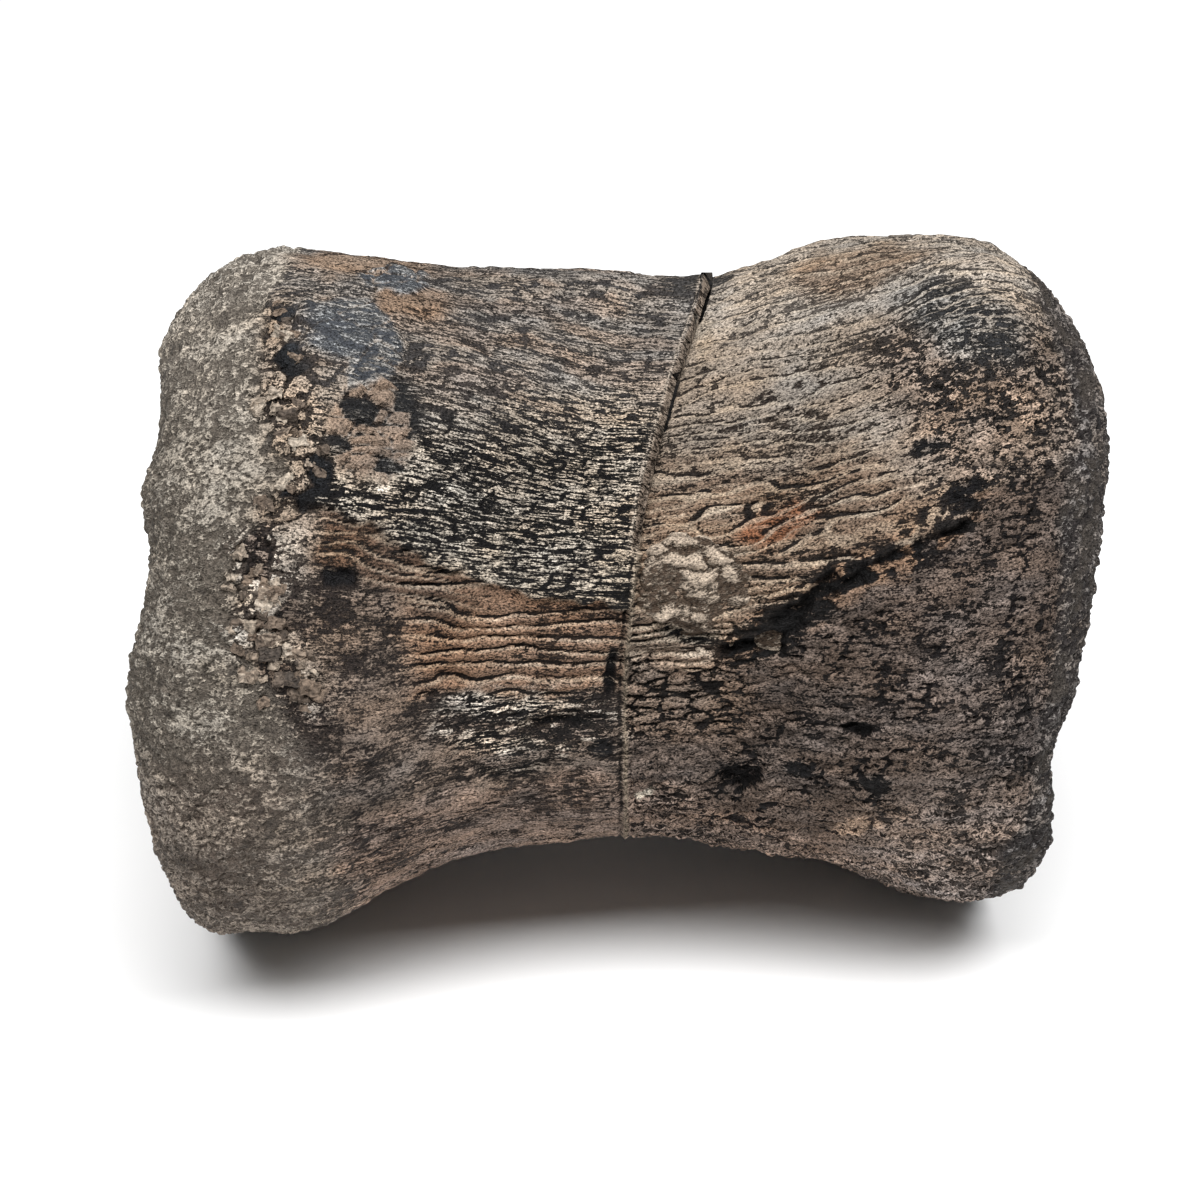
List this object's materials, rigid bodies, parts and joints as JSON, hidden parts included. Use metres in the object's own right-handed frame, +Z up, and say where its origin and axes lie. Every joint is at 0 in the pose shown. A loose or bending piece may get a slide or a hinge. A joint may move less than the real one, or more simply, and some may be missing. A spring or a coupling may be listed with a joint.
{
  "type": "fossil dinosaur vertebra centrum",
  "caption": "Spool-shaped fossil tail vertebra body with flared worn ends and a rejoined break across its narrow waist, lying on its lower rear edge.",
  "frame": {"origin": "middle of the bounding box at floor level", "axes": "+X along the bone towards the end taken as caudal, -Y towards the side that shows, +Z up"},
  "size_m": [0.106, 0.0774, 0.0792],
  "materials": {
    "cranial_end": "matt worn spongy bone, turned to stone",
    "cranial_body": "dark mineral-filled outer bone, fine grooved grain with a low sheen",
    "caudal_body": "brown grey weathered outer bone with wavy grain",
    "caudal_end": "matt worn spongy bone, turned to stone",
    "stone_crust": "pale tan, matt stone crust"
  },
  "bodies": {
    "root": {"cranial_end": "cranial_end", "cranial_body": "cranial_body", "caudal_body": "caudal_body", "caudal_end": "caudal_end", "stone_crust": "stone_crust"}
  },
  "joints": []
}
